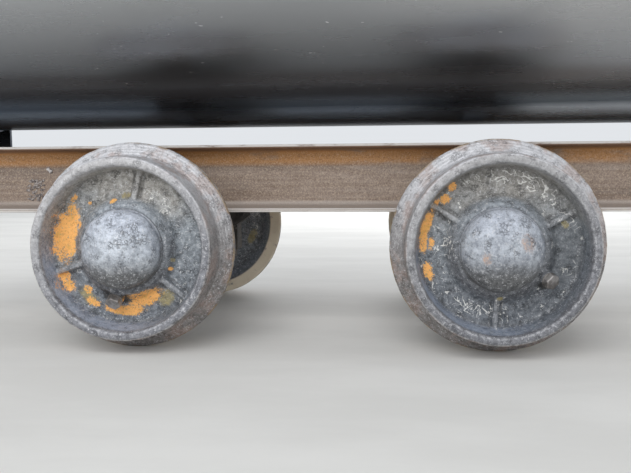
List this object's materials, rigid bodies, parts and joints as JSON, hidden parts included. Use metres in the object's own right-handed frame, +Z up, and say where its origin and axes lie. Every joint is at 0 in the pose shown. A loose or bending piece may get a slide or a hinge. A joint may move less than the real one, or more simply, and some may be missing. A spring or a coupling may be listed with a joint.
{
  "type": "round-bottomed ore cart",
  "caption": "Fixed-body ore cart for narrow-gauge rails: round-bottomed tub on a channel frame with flanged cast wheels, link-and-pin buffers at both ends.",
  "frame": {"origin": "on the floor under the middle of the cart, at the lowest point of the wheel flanges", "axes": "+X along the cart to its front, +Y to its left, +Z up"},
  "size_m": [1.9, 1.05, 1.222],
  "materials": {
    "tub_paint": "black gloss paint on rolled plate, softly wavy",
    "rusty_section": "bare rolled steel with brown and orange surface rust",
    "cast_wheel": "bare grey cast steel, grainy, with orange rust patches",
    "cast_cap": "pale grainy cast steel",
    "cast_seat": "dark rough casting",
    "cast_buffer": "rough casting with brown rust",
    "forged_axle": "turned steel, darkened with light rust",
    "plug_steel": "oily dark steel",
    "dust_ring": "dark cast ring"
  },
  "bodies": {
    "frame": {"side_channel_left": "rusty_section", "side_channel_right": "rusty_section", "cross_member_front": "rusty_section", "cross_member_rear": "rusty_section", "end_plate_front": "rusty_section", "end_plate_rear": "rusty_section", "buffer_front": "cast_buffer", "buffer_rear": "cast_buffer", "saddle_web_front": "tub_paint", "saddle_web_rear": "tub_paint", "saddle_strap_front": "tub_paint", "saddle_strap_rear": "tub_paint", "tub_end_front": "tub_paint", "tub_end_rear": "tub_paint", "tub_shell": "tub_paint", "rim_bar_left": "tub_paint", "rim_bar_right": "tub_paint", "rim_bar_front": "tub_paint", "rim_bar_rear": "tub_paint", "axle_seat_front_left": "cast_seat", "axle_seat_front_right": "cast_seat", "axle_seat_rear_left": "cast_seat", "axle_seat_rear_right": "cast_seat", "axle_keeper_front_left": "cast_seat", "axle_keeper_front_right": "cast_seat", "axle_keeper_rear_left": "cast_seat", "axle_keeper_rear_right": "cast_seat"},
    "wheelset_front": {"axle_front": "forged_axle", "wheel_front_left": "cast_wheel", "wheel_front_right": "cast_wheel", "hub_cap_front_left": "cast_cap", "hub_cap_front_right": "cast_cap", "grease_plug_front_left": "plug_steel", "grease_plug_front_right": "plug_steel", "dust_ring_front_left": "dust_ring", "dust_ring_front_right": "dust_ring"},
    "wheelset_rear": {"axle_rear": "forged_axle", "wheel_rear_left": "cast_wheel", "wheel_rear_right": "cast_wheel", "hub_cap_rear_left": "cast_cap", "hub_cap_rear_right": "cast_cap", "grease_plug_rear_left": "plug_steel", "grease_plug_rear_right": "plug_steel", "dust_ring_rear_left": "dust_ring", "dust_ring_rear_right": "dust_ring"}
  },
  "joints": [
    {"name": "front_axle_turn", "type": "hinge", "parent": "frame", "child": "wheelset_front", "pos_m": [0.3, 0, 0.172], "axis": [0, 1, 0], "continuous": true},
    {"name": "rear_axle_turn", "type": "hinge", "parent": "frame", "child": "wheelset_rear", "pos_m": [-0.3, 0, 0.172], "axis": [0, 1, 0], "continuous": true}
  ]
}
